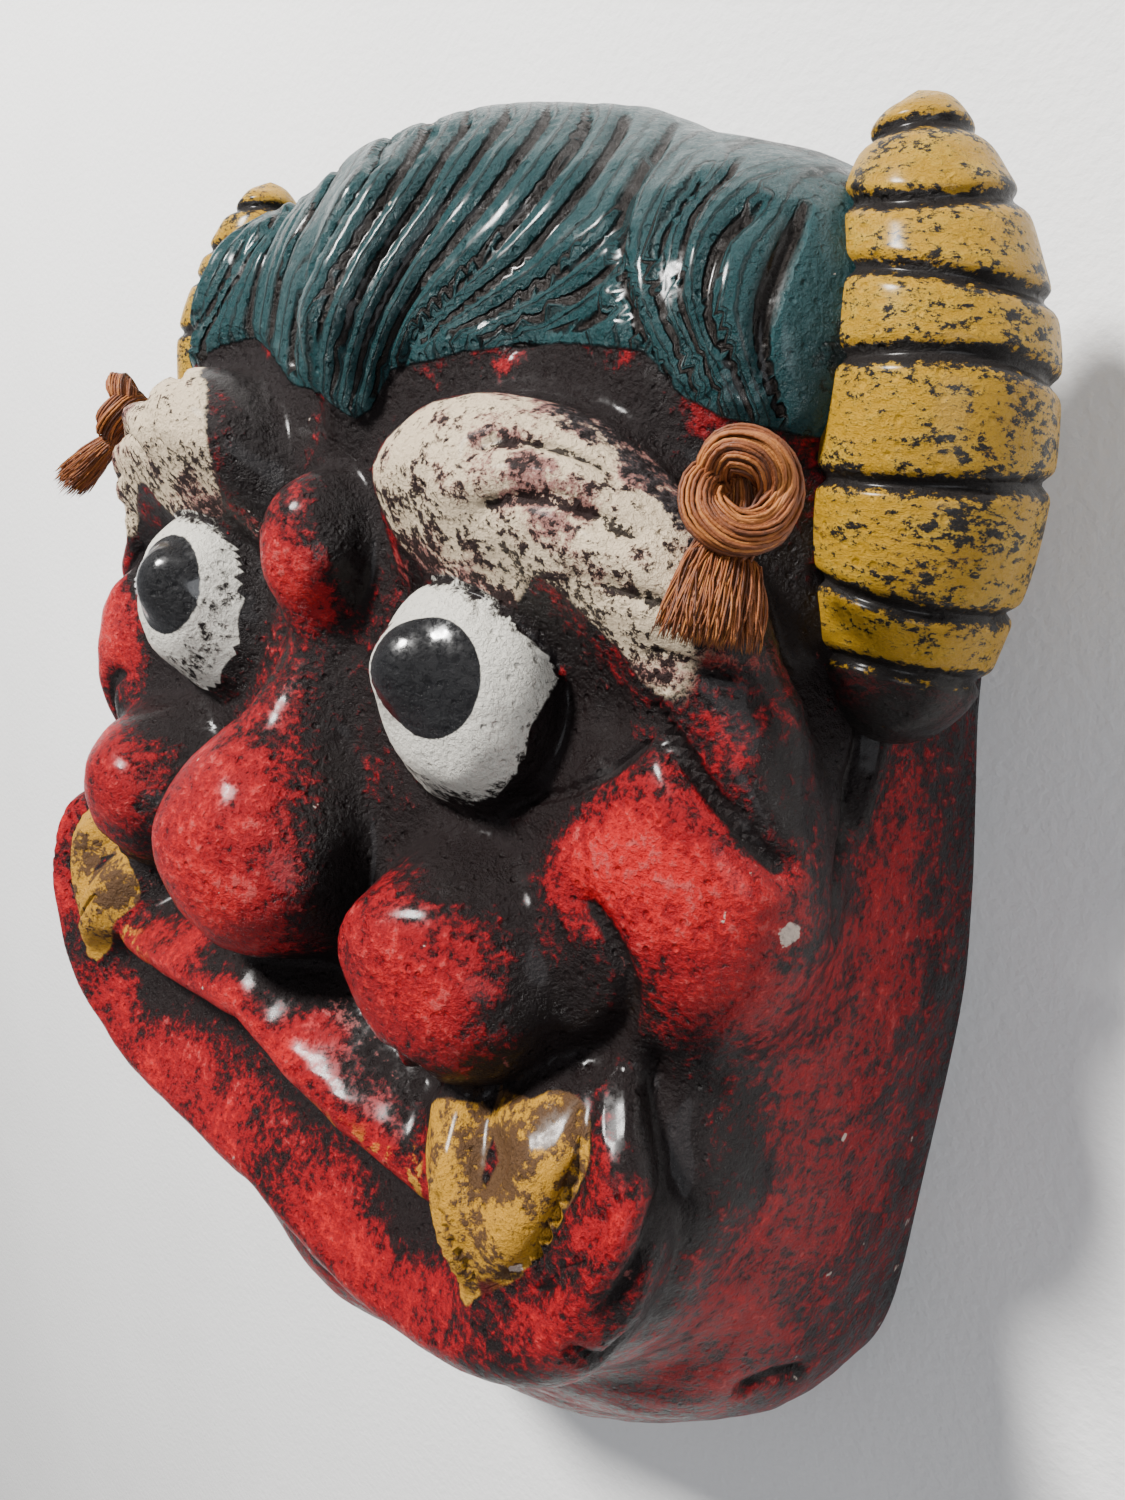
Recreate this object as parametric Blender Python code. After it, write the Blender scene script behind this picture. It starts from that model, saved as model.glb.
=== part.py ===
import math

import bmesh
import bpy
import numpy as np
from mathutils import Vector

# Oni mask, cast in one piece with its horns and hollow behind, and a fibre tassel at each temple.
# The mask lies face up on its flat rim. Form sizes are in millimetres of the mask's own axes:
# x to the viewer's right, y up the face, z out of the face, rim in the plane z = 0.
millimetre = 0.001
centre_up = 40.0

head_top = 112.0
head_bottom = -192.0
ray_middle = -37.0
wall = 8.5
front_stretch = 1.07
cord_hole_radius = 2.8
cord_stub_radius = 2.3
piece_gap = 0.7
brush_gap = 1.6
grid_count = 150
inner_count = 23
mask_faces = 5200

# height up the face, half width, depth, from the jaw to the brows
head_rows = [(-95, 114, 83), (-52, 114, 83), (-29, 111.5, 81), (-9, 108, 80), (7, 105, 79),
             (20, 103.5, 77)]
# x, y, z, radius along the horn from foot to tip
horn_rows = [(102, 6, 30, 0.4), (104, 14, 33, 12), (105, 29, 35, 16), (106, 45, 38, 18),
             (105, 64, 40, 18), (101, 80, 40, 15.5), (97, 91, 40, 12.5), (95, 98, 40, 9.5),
             (94, 104, 40.5, 5.5), (93.5, 106.5, 41, 0.4)]
horn_rings = [20, 32, 50, 66, 79, 90, 99]
hole_point = (88, 46, 70)
hole_way = (-0.62, -0.12, -0.78)


def spline(points, steps=5):
    p = np.asarray(points, float)
    p = np.vstack([2 * p[0] - p[1], p, 2 * p[-1] - p[-2]])
    out = []
    for i in range(1, len(p) - 2):
        for t in np.arange(steps) / steps:
            a, b, c, d = p[i - 1], p[i], p[i + 1], p[i + 2]
            out.append(0.5 * (2 * b + (c - a) * t + (2 * a - 5 * b + 4 * c - d) * t * t
                              + (3 * b - a - 3 * c + d) * t ** 3))
    out.append(p[-2])
    return np.array(out)


def ball(P, centre, radii):
    q = P - np.asarray(centre, float)
    r = np.asarray(radii, float)
    a = np.linalg.norm(q / r, axis=1)
    b = np.linalg.norm(q / (r * r), axis=1)
    return a * (a - 1) / np.maximum(b, 1e-9)


def tube(P, rows, steps=5):
    c = spline(rows, steps)
    best = np.full(len(P), 1e9)
    for a, b in zip(c[:-1], c[1:]):
        d = b[:3] - a[:3]
        q = P - a[:3]
        t = np.clip((q @ d) / max(d @ d, 1e-9), 0, 1)
        w = np.linalg.norm(q - t[:, None] * d, axis=1) - (a[3] + t * (b[3] - a[3]))
        best = np.minimum(best, w)
    return best


def join(a, b, k):
    h = np.clip(0.5 + 0.5 * (b - a) / k, 0, 1)
    return b + (a - b) * h - k * h * (1 - h)


def cut(a, b, k):
    return -join(-a, b, k)


head_table = spline(head_rows, 6)


def head_level(P):
    # rows of the face, rounded off over the crown above them and over the chin below
    y = np.clip(P[:, 1], head_rows[0][0], head_rows[-1][0])
    up = (P[:, 1] - y) / (head_top - head_rows[-1][0])
    down = (y - P[:, 1]) / (head_rows[0][0] - head_bottom)
    over = np.maximum(up, down)
    w = np.interp(y, head_table[:, 0], head_table[:, 1])
    d = np.interp(y, head_table[:, 0], head_table[:, 2]) * (1 - 0.14 * np.clip(down, 0, 1))
    n = np.interp(P[:, 1], [-150, -95, -60, 20, 50, 80], [2.35, 4.0, 4.0, 3.6, 2.7, 2.25])
    q = np.abs(P[:, 0] / w) ** n + np.abs(np.maximum(P[:, 2], 0) / d) ** n + over ** n
    return q ** (1 / n) - 1


def head(P):
    # distance to the plain head, from its level and how fast that level changes
    f = head_level(P)
    slope = np.stack([head_level(P + np.eye(3)[k] * 0.3) - f for k in range(3)], -1) / 0.3
    return f / np.maximum(np.linalg.norm(slope, axis=1), 0.006)


# the modelled forms in order: name, added or taken away, blend width, kind, sizes
carving = [
    ("hair", "+", 8, "ball", ((0, 71, 34), (80, 42, 41))),
    ("hair side", "+", 16, "ball", ((70, 65, 38), (29, 32, 32))),
    ("tuft", "+", 8, "tube", ([(0, 55, 76, 6), (0, 66, 75, 10), (0, 84, 66, 13)],)),
    ("socket", "-", 9, "ball", ((50, 2, 96), (31, 24, 21))),
    ("brow", "+", 6, "tube", ([(27, 34, 78, 6), (33, 39, 80, 11.5), (46, 42, 79, 15),
                               (66, 38, 76, 15), (84, 27, 72, 13), (98, 12, 66, 8)],)),
    ("brow ball", "+", 4, "ball", ((0, 23, 79), (13.5, 16.5, 14))),
    ("eye", "+", 2.5, "ball", ((47.5, 5, 80), (20, 20.5, 14.5))),
    ("pupil", "+", 1, "ball", ((45, 8.5, 88), (10, 10.5, 9.5))),
    ("nose", "+", 8, "tube", ([(0, 6, 74, 9), (0, -14, 80, 14), (0, -36, 86, 20)],)),
    ("nose tip", "+", 7, "ball", ((0, -38, 88), (26, 24, 24))),
    ("nose wing", "+", 8, "ball", ((57, -43, 84), (23, 21, 19))),
    ("nostril", "-", 3, "tube", ([(22, -58, 96, 3), (30, -61, 95, 4), (42, -66, 92, 3)],)),
    ("cheek", "+", 14, "ball", ((90, -20, 64), (25, 30, 21))),
    ("mouth", "-", 6, "tube", ([(0, -94, 104, 12), (40, -98, 104, 12), (70, -92, 106, 10)],)),
    ("upper lip", "+", 4, "tube", ([(0, -71, 92, 7), (25, -75, 92, 7), (48, -80, 90, 6.5),
                                    (66, -81, 88, 5.5), (80, -69, 86, 5), (94, -56, 80, 5)],)),
    ("lip base", "+", 16, "tube", ([(0, -110, 74, 13), (40, -110, 74, 14), (74, -102, 74, 15),
                                   (90, -88, 72, 16), (94, -70, 68, 15)],)),
    ("lower lip", "+", 4, "tube", ([(0, -113, 86, 8.5), (30, -115, 86, 8.5), (55, -113, 86, 9),
                                    (74, -106, 87, 10), (90, -96, 87, 10), (99, -84, 87, 9.5),
                                    (103, -71, 86, 7.5), (102, -60, 85, 4)],)),
    ("fang", "+", 2, "tube", ([(68, -72, 90, 8), (75, -83, 93, 6.5), (78, -94, 93, 2.5)],)),
    ("fang back", "+", 2, "tube", ([(88, -62, 85, 7.5), (85, -77, 90, 7), (78, -94, 92, 2.5)],)),
    ("chin", "+", 14, "ball", ((0, -144, 46), (42, 22, 28))),
]


def face(P):
    # distance to the outside of the face, the same on both sides of the middle
    S = P.copy()
    S[:, 0] = np.abs(S[:, 0])
    d = head(P)
    for name, sign, k, kind, sizes in carving:
        e = ball(S, *sizes) if kind == "ball" else tube(S, *sizes)
        d = join(d, e, k) if sign == "+" else cut(d, e, k)
    return d


def hollow(P):
    # the cavity behind: smooth, with a pocket behind the nose
    d = head(P * (1, 1, front_stretch)) + wall
    return join(d, ball(P, (0, -34, 62), (30, 30, 30)), 10)


def outside(P):
    # face and both horns together
    S = P.copy()
    S[:, 0] = np.abs(S[:, 0])
    return np.minimum(face(P), tube(S, horn_rows[1:-1], 3))


def lay_out(u, v, side_share=0.2):
    # spreads a square grid over a half ball of rays, finer over the face than down the sides
    x = u * np.sqrt(1 - v * v / 2)
    y = v * np.sqrt(1 - u * u / 2)
    r = np.clip(np.hypot(x, y), 0, 1)
    a = np.arctan2(y, x)
    f = (r * (1 - side_share) + side_share * r ** 4) * math.pi / 2
    return np.stack([np.cos(a) * np.sin(f) * 118, np.sin(a) * np.sin(f) * 158, np.cos(f) * 92], -1)


def drop(rays, shape):
    # walks each ray inward until it meets the form
    start = np.array([0, ray_middle, 0.0])
    length = np.linalg.norm(rays, axis=1)
    t = np.full(len(rays), 1.5)
    live = np.arange(len(rays))
    for i in range(90):
        s = shape(start + rays[live] * t[live, None])
        t[live] -= np.clip(s, -6, 40) / length[live] * 0.7
        live = live[np.abs(s) > 0.01]
        if len(live) == 0:
            break
    return start + rays * t[:, None]


def place(p):
    return Vector((p[0], p[1] + centre_up, p[2])) * millimetre


def finish(bm, name, group, material=None):
    bmesh.ops.recalc_face_normals(bm, faces=bm.faces[:])
    if bm.calc_volume(signed=True) < 0:
        bmesh.ops.reverse_faces(bm, faces=bm.faces[:])
    mesh = bpy.data.meshes.new(name)
    bm.to_mesh(mesh)
    bm.free()
    for p in mesh.polygons:
        p.use_smooth = True
    if material:
        mesh.materials.append(material)
    ob = bpy.data.objects.new(name, mesh)
    group.objects.link(ob)
    return ob


def dome(name, count, shape, group, material=None, skirt=0.0):
    # a grid moved on to the form, closed across the rim plane
    bm = bmesh.new()
    bmesh.ops.create_grid(bm, x_segments=count, y_segments=count, size=1)
    bm.verts.ensure_lookup_table()
    at = np.array([v.co[:] for v in bm.verts])
    at = at / np.abs(at).max()
    points = drop(lay_out(at[:, 0], at[:, 1]), shape)
    edge = [e for e in bm.edges if len(e.link_faces) == 1]
    rim = {v.index for e in edge for v in e.verts}
    for v, p in zip(bm.verts, points):
        if v.index in rim:
            p[2] = 0.0
        v.co = place(p)
    if skirt:
        made = bmesh.ops.extrude_edge_only(bm, edges=edge)["geom"]
        low = [g for g in made if isinstance(g, bmesh.types.BMVert)]
        bmesh.ops.translate(bm, verts=low, vec=(0, 0, -skirt * millimetre))
        edge = [g for g in made if isinstance(g, bmesh.types.BMEdge)]
    bmesh.ops.contextual_create(bm, geom=edge)
    return finish(bm, name, group, material)


def loft(name, rows, around, along, group, material=None, side=1, grooves=(), depth=1.0, flat=1.0):
    # a closed round body whose middle line and radius follow the rows
    path = spline(rows, 8)
    path[:, 0] *= side
    run = np.concatenate([[0], np.cumsum(np.linalg.norm(np.diff(path[:, :3], axis=0), axis=1))])
    way = np.gradient(path[:, :3], axis=0)
    bm = bmesh.new()
    bmesh.ops.create_uvsphere(bm, u_segments=around, v_segments=along, radius=1)
    for v in bm.verts:
        s = math.acos(max(-1, min(1, -v.co.z))) / math.pi
        turn = math.atan2(v.co.y, v.co.x)
        c = [np.interp(s * run[-1], run, path[:, k]) for k in range(4)]
        t = Vector([np.interp(s * run[-1], run, way[:, k]) for k in range(3)]).normalized()
        a = t.cross(Vector((0, 0, 1))).normalized()
        b = t.cross(a)
        r = c[3]
        for g in grooves:
            r -= depth * math.exp(-((c[1] - g) / 1.6) ** 2)
        r = max(r, 0.05) if 0 < s < 1 else 0
        off = a * math.cos(turn) * r + b * math.sin(turn) * r * flat
        v.co = place((c[0] + off.x, c[1] + off.y, c[2] + off.z))
    return finish(bm, name, group, material)


def rest(p, room):
    # pushes a point out from the mask until it has this much room around it
    p = np.array([p], float)
    for i in range(30):
        here = outside(p)[0]
        if here >= room:
            break
        slope = np.array([outside(p + np.eye(3)[k])[0] - here for k in range(3)])
        p += slope / max(np.linalg.norm(slope), 1e-6) * (room - here + 0.05)
    return p[0]


def clear(ob, room):
    # moves any point of a soft piece that would be in the mask out to its surface
    at = np.array([v.co[:] for v in ob.data.vertices]) / millimetre - (0, centre_up, 0)
    for i in range(12):
        here = outside(at)
        slope = np.stack([outside(at + np.eye(3)[k] * 0.5) - here for k in range(3)], -1) * 2
        slope /= np.maximum(np.linalg.norm(slope, axis=1, keepdims=True), 1e-6)
        at = at + slope * np.maximum(room - here, 0)[:, None]
    for v, p in zip(ob.data.vertices, at):
        v.co = place(p)


def rod(name, start, way, length, radius, group):
    bm = bmesh.new()
    way = Vector(way).normalized()
    bmesh.ops.create_cone(bm, cap_ends=True, segments=16, radius1=radius * millimetre,
                          radius2=radius * millimetre, depth=length * millimetre)
    turn = Vector((0, 0, 1)).rotation_difference(way).to_matrix()
    middle = place(np.array(start) + np.array(way) * length / 2)
    for v in bm.verts:
        v.co = turn @ v.co + middle
    return finish(bm, name, group)


def paint(name, colour, roughness):
    m = bpy.data.materials.new(name)
    m.use_nodes = True
    s = m.node_tree.nodes["Principled BSDF"]
    s.inputs["Base Color"].default_value = (*colour, 1)
    s.inputs["Roughness"].default_value = roughness
    s.inputs["Metallic"].default_value = 0
    return m


def add_boolean(ob, tool, kind):
    m = ob.modifiers.new(kind.lower() + " " + tool.name, "BOOLEAN")
    m.operation = kind
    m.solver = "EXACT"
    m.object = tool
    tool.hide_render = True
    tool.display_type = "WIRE"


for old in list(bpy.data.objects):
    bpy.data.objects.remove(old)
part = bpy.data.collections.new("oni_mask")
tools = bpy.data.collections.new("oni_mask_cutters")
for group in (part, tools):
    bpy.context.scene.collection.children.link(group)

plaster = paint("mask_red", (0.42, 0.045, 0.035), 0.45)
fibre = paint("tassel_fibre", (0.36, 0.13, 0.05), 0.85)

mask = dome("mask", grid_count, face, part, plaster)
thin = mask.modifiers.new("thin", "DECIMATE")
thin.ratio = mask_faces / (2 * len(mask.data.polygons))
for side, word in ((1, "right"), (-1, "left")):
    horn = loft("horn_" + word, horn_rows, 14, 27, tools, None, side, horn_rings, 1.3)
    add_boolean(mask, horn, "UNION")
add_boolean(mask, dome("cavity", inner_count, hollow, tools, None, 6.0), "DIFFERENCE")

for side, word in ((1, "right"), (-1, "left")):
    way = np.array(hole_way) * (side, 1, 1)
    way = way / np.linalg.norm(way)
    door = np.array(hole_point) * (side, 1, 1)
    hole = rod("cord_hole_" + word, door - way * 20, way, 55, cord_hole_radius, tools)
    add_boolean(mask, hole, "DIFFERENCE")
    # the knot sits just clear of the surface on the line of the hole
    knot = 9.5
    away = 0.0
    while outside(np.array([door - way * away]))[0] < knot + piece_gap:
        away += 0.25
    k = door - way * away
    stub = rod("cord_stub_" + word, k, way, away + 22, cord_stub_radius, tools)
    bm = bmesh.new()
    bmesh.ops.create_uvsphere(bm, u_segments=16, v_segments=12, radius=knot * millimetre)
    for v in bm.verts:
        v.co = v.co + place(k)
    tassel = finish(bm, "tassel_" + word, part, fibre)
    hang = [(k[0], k[1], k[2], 0.4), (k[0], k[1], k[2], 4.5)]
    line = ((-7, -15, 6.0), (-13, -26, 8.0), (-19, -35, 8.5)) if side > 0 else \
        ((-9, -12, 6.0), (-16, -20, 8.0), (-22, -27, 8.5))
    for dx, dy, r in line:
        p = rest((k[0] + dx, k[1] + dy, k[2]), r + brush_gap)
        hang.append((*p, r))
    hang[0] = (*(k + (k - np.array(hang[2][:3])) * 0.3), 0.4)
    hang[1] = (*k, 5.0)
    last = np.array(hang[-1][:3])
    ahead = last - np.array(hang[-2][:3])
    hang.append((*(last + ahead / np.linalg.norm(ahead) * 1.5), 0.4))
    brush = loft("tassel_brush_" + word, hang, 14, 14, tools)
    clear(brush, brush_gap)
    add_boolean(tassel, brush, "UNION")
    add_boolean(tassel, stub, "UNION")
    print(word, "knot at", [round(float(x), 1) for x in k], "away", round(away, 1))
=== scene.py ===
import math
import random

import bmesh
import bpy
import numpy as np
from mathutils import Matrix, Vector


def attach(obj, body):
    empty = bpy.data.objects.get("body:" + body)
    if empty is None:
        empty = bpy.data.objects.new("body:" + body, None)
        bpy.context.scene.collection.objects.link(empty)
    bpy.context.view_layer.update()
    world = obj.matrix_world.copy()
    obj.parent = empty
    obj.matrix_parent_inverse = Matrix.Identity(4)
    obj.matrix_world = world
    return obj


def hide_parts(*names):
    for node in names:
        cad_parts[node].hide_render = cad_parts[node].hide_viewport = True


# Oni mask of painted plaster with two horns and a fibre tassel at each temple, lying on its rim.
# Lengths are in millimetres in the mask's own axes: x right, y up the face, z out of the face.
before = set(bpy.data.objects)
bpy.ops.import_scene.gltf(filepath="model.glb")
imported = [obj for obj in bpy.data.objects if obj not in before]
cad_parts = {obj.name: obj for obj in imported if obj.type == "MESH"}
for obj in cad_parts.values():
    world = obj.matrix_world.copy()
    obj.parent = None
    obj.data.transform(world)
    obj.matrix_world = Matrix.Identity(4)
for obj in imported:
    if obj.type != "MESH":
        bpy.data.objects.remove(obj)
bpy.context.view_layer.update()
millimetre = 0.001
centreUp = 40.0

# the photograph's own view, in the mask's axes, in millimetres and degrees
view = {"across": 43.81, "above": 15.3, "roll": 6.4, "place": (196.0, 50.0, 209.0),
        "pixels": (1125, 1500), "focal": 1127.0}


def viewAxes():
    a, b, c = (math.radians(view[k]) for k in ("across", "above", "roll"))
    back = np.array([math.sin(a) * math.cos(b), math.sin(b), math.cos(a) * math.cos(b)])
    right = np.array([math.cos(a), 0, -math.sin(a)])
    up = np.cross(back, right)
    return right * math.cos(c) + up * math.sin(c), up * math.cos(c) - right * math.sin(c), back


# form functions, the same as the solid's
headTop = 112.0
headBottom = -192.0
rayMiddle = -37.0
wall = 8.5
frontStretch = 1.07
headRows = [(-95, 114, 83), (-52, 114, 83), (-29, 111.5, 81), (-9, 108, 80), (7, 105, 79), (20, 103.5, 77)]
hornRows = [(102, 6, 30, 0.4), (104, 14, 33, 12), (105, 29, 35, 16), (106, 45, 38, 18), (105, 64, 40, 18),
            (101, 80, 40, 15.5), (97, 91, 40, 12.5), (95, 98, 40, 9.5), (94, 104, 40.5, 5.5),
            (93.5, 106.5, 41, 0.4)]


def spline(points, steps=5):
    p = np.asarray(points, float)
    p = np.vstack([2 * p[0] - p[1], p, 2 * p[-1] - p[-2]])
    out = []
    for i in range(1, len(p) - 2):
        for t in np.arange(steps) / steps:
            a, b, c, d = p[i - 1], p[i], p[i + 1], p[i + 2]
            out.append(0.5 * (2 * b + (c - a) * t + (2 * a - 5 * b + 4 * c - d) * t * t
                              + (3 * b - a - 3 * c + d) * t ** 3))
    out.append(p[-2])
    return np.array(out)


def ball(P, centre, radii):
    q = P - np.asarray(centre, float)
    r = np.asarray(radii, float)
    a = np.linalg.norm(q / r, axis=1)
    b = np.linalg.norm(q / (r * r), axis=1)
    return a * (a - 1) / np.maximum(b, 1e-9)


def tube(P, rows, steps=5):
    c = spline(rows, steps)
    best = np.full(len(P), 1e9)
    for a, b in zip(c[:-1], c[1:]):
        d = b[:3] - a[:3]
        q = P - a[:3]
        t = np.clip((q @ d) / max(d @ d, 1e-9), 0, 1)
        best = np.minimum(best, np.linalg.norm(q - t[:, None] * d, axis=1) - (a[3] + t * (b[3] - a[3])))
    return best


def join(a, b, k):
    h = np.clip(0.5 + 0.5 * (b - a) / k, 0, 1)
    return b + (a - b) * h - k * h * (1 - h)


def cut(a, b, k):
    return -join(-a, b, k)


headTable = spline(headRows, 6)


def headLevel(P):
    y = np.clip(P[:, 1], headRows[0][0], headRows[-1][0])
    up = (P[:, 1] - y) / (headTop - headRows[-1][0])
    down = (y - P[:, 1]) / (headRows[0][0] - headBottom)
    over = np.maximum(up, down)
    w = np.interp(y, headTable[:, 0], headTable[:, 1])
    d = np.interp(y, headTable[:, 0], headTable[:, 2]) * (1 - 0.14 * np.clip(down, 0, 1))
    n = np.interp(P[:, 1], [-150, -95, -60, 20, 50, 80], [2.35, 4.0, 4.0, 3.6, 2.7, 2.25])
    q = np.abs(P[:, 0] / w) ** n + np.abs(np.maximum(P[:, 2], 0) / d) ** n + over ** n
    return q ** (1 / n) - 1


def head(P):
    f = headLevel(P)
    slope = np.stack([headLevel(P + np.eye(3)[k] * 0.3) - f for k in range(3)], -1) / 0.3
    return f / np.maximum(np.linalg.norm(slope, axis=1), 0.006)


carving = [
    ("hair", "+", 8, "ball", ((0, 71, 34), (80, 42, 41))),
    ("hair side", "+", 16, "ball", ((70, 65, 38), (29, 32, 32))),
    ("tuft", "+", 8, "tube", ([(0, 55, 76, 6), (0, 66, 75, 10), (0, 84, 66, 13)],)),
    ("socket", "-", 9, "ball", ((50, 2, 96), (31, 24, 21))),
    ("brow", "+", 6, "tube", ([(27, 34, 78, 6), (33, 39, 80, 11.5), (46, 42, 79, 15),
                               (66, 38, 76, 15), (84, 27, 72, 13), (98, 12, 66, 8)],)),
    ("brow ball", "+", 4, "ball", ((0, 23, 79), (13.5, 16.5, 14))),
    ("eye", "+", 2.5, "ball", ((47.5, 5, 80), (20, 20.5, 14.5))),
    ("pupil", "+", 1, "ball", ((45, 8.5, 88), (10, 10.5, 9.5))),
    ("nose", "+", 8, "tube", ([(0, 6, 74, 9), (0, -14, 80, 14), (0, -36, 86, 20)],)),
    ("nose tip", "+", 7, "ball", ((0, -38, 88), (26, 24, 24))),
    ("nose wing", "+", 8, "ball", ((57, -43, 84), (23, 21, 19))),
    ("nostril", "-", 3, "tube", ([(22, -58, 96, 3), (30, -61, 95, 4), (42, -66, 92, 3)],)),
    ("cheek", "+", 14, "ball", ((90, -20, 64), (25, 30, 21))),
    ("mouth", "-", 6, "tube", ([(0, -94, 104, 12), (40, -98, 104, 12), (70, -92, 106, 10)],)),
    ("upper lip", "+", 4, "tube", ([(0, -71, 92, 7), (25, -75, 92, 7), (48, -80, 90, 6.5),
                                    (66, -81, 88, 5.5), (80, -69, 86, 5), (94, -56, 80, 5)],)),
    ("lip base", "+", 16, "tube", ([(0, -110, 74, 13), (40, -110, 74, 14), (74, -102, 74, 15),
                                   (90, -88, 72, 16), (94, -70, 68, 15)],)),
    ("lower lip", "+", 4, "tube", ([(0, -113, 86, 8.5), (30, -115, 86, 8.5), (55, -113, 86, 9),
                                    (74, -106, 87, 10), (90, -96, 87, 10), (99, -84, 87, 9.5),
                                    (103, -71, 86, 7.5), (102, -60, 85, 4)],)),
    ("fang", "+", 2, "tube", ([(68, -72, 90, 8), (75, -83, 93, 6.5), (78, -94, 93, 2.5)],)),
    ("fang back", "+", 2, "tube", ([(88, -62, 85, 7.5), (85, -77, 90, 7), (78, -94, 92, 2.5)],)),
    ("chin", "+", 14, "ball", ((0, -144, 46), (42, 22, 28))),
]
forms = {name: (kind, sizes) for name, sign, k, kind, sizes in carving}


def mirrored(P):
    # the forms are written for the right side and serve both
    S = P.copy()
    S[:, 0] = np.abs(S[:, 0])
    return S


def form(P, name):
    kind, sizes = forms[name]
    return ball(P, *sizes) if kind == "ball" else tube(P, *sizes)


def face(P):
    S = mirrored(P)
    d = head(P)
    for name, sign, k, kind, sizes in carving:
        e = form(S, name)
        d = join(d, e, k) if sign == "+" else cut(d, e, k)
    return d


def hollow(P):
    d = head(P * (1, 1, frontStretch)) + wall
    return join(d, ball(P, (0, -34, 62), (30, 30, 30)), 10)


def horn(P):
    return tube(mirrored(P), hornRows[1:-1], 3)


def layOut(u, v, sideShare=0.2):
    x = u * np.sqrt(1 - v * v / 2)
    y = v * np.sqrt(1 - u * u / 2)
    r = np.clip(np.hypot(x, y), 0, 1)
    a = np.arctan2(y, x)
    f = (r * (1 - sideShare) + sideShare * r ** 4) * math.pi / 2
    return np.stack([np.cos(a) * np.sin(f) * 118, np.sin(a) * np.sin(f) * 158, np.cos(f) * 92], -1)


def drop(rays, shape):
    start = np.array([0, rayMiddle, 0.0])
    length = np.linalg.norm(rays, axis=1)
    t = np.full(len(rays), 1.5)
    live = np.arange(len(rays))
    for i in range(90):
        s = shape(start + rays[live] * t[live, None])
        t[live] -= np.clip(s, -6, 40) / length[live] * 0.7
        live = live[np.abs(s) > 0.02]
        if len(live) == 0:
            break
    return start + rays * t[:, None]


def place(p):
    return Vector((p[0], p[1] + centreUp, p[2])) * millimetre


def landing(points, shape=None, room=0.0):
    # where the view's rays through picture points meet the face, or come this near to it
    shape = shape or face
    right, up, back = viewAxes()
    at = np.array(points, float)
    w, h = view["pixels"]
    rays = right * ((at[:, :1] - w / 2) / view["focal"]) - up * ((at[:, 1:2] - h / 2) / view["focal"]) - back
    rays /= np.linalg.norm(rays, axis=1, keepdims=True)
    start = np.array(view["place"])
    t = np.full(len(at), 60.0)
    for i in range(80):
        s = np.minimum(shape(start + rays * t[:, None]) - room, 30)
        t += s * 0.8
    return start + rays * t[:, None]


def along(strokes, steps=5):
    # picture strokes laid on the face, all in one go
    smooth = [spline(np.array(points, float), steps) for points in strokes]
    landed = landing(np.concatenate(smooth))
    return np.split(landed, np.cumsum([len(c) for c in smooth])[:-1])


def nearLine(P, line):
    # distance to a 3-D line and how far along it the nearest point is, from 0 to 1
    best = np.full(len(P), 1e9)
    far = np.zeros(len(P))
    for i, (a, b) in enumerate(zip(line[:-1], line[1:])):
        d = b - a
        q = P - a
        t = np.clip((q @ d) / max(d @ d, 1e-9), 0, 1)
        w = np.linalg.norm(q - t[:, None] * d, axis=1)
        closer = w < best
        best[closer] = w[closer]
        far[closer] = (i + t[closer]) / (len(line) - 1)
    return best, far


# strokes of the carving, as picture points of the photograph that are laid on the form
hairStrokes = [
    [(255, 235), (215, 300), (185, 350), (176, 388)], [(290, 205), (245, 275), (215, 325), (200, 365)],
    [(326, 170), (285, 230), (262, 290), (252, 345)], [(364, 149), (318, 215), (290, 280), (275, 350)],
    [(407, 130), (355, 200), (318, 275), (298, 345), (302, 385)],
    [(445, 120), (390, 195), (345, 270), (318, 340), (320, 402)],
    [(483, 113), (425, 195), (375, 270), (345, 340), (337, 408)],
    [(521, 109), (462, 190), (405, 270), (368, 340), (354, 412)],
    [(560, 109), (505, 185), (440, 265), (395, 335), (372, 405)],
    [(598, 112), (560, 175), (500, 245), (430, 320), (392, 380)],
    [(631, 117), (590, 190), (530, 255), (455, 315), (412, 352)],
    [(650, 170), (615, 235), (540, 290), (450, 338)], [(622, 265), (560, 310), (480, 342)],
    [(622, 310), (560, 330), (500, 348)],
    [(674, 137), (632, 215), (626, 290), (650, 345), (680, 410)],
    [(712, 175), (668, 237), (664, 308), (684, 352), (704, 395)],
    [(740, 170), (693, 223), (679, 285), (697, 347), (724, 412)],
    [(764, 208), (717, 256), (707, 318), (731, 366), (757, 422)],
    [(800, 215), (765, 300), (762, 360), (785, 432)],
]
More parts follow.
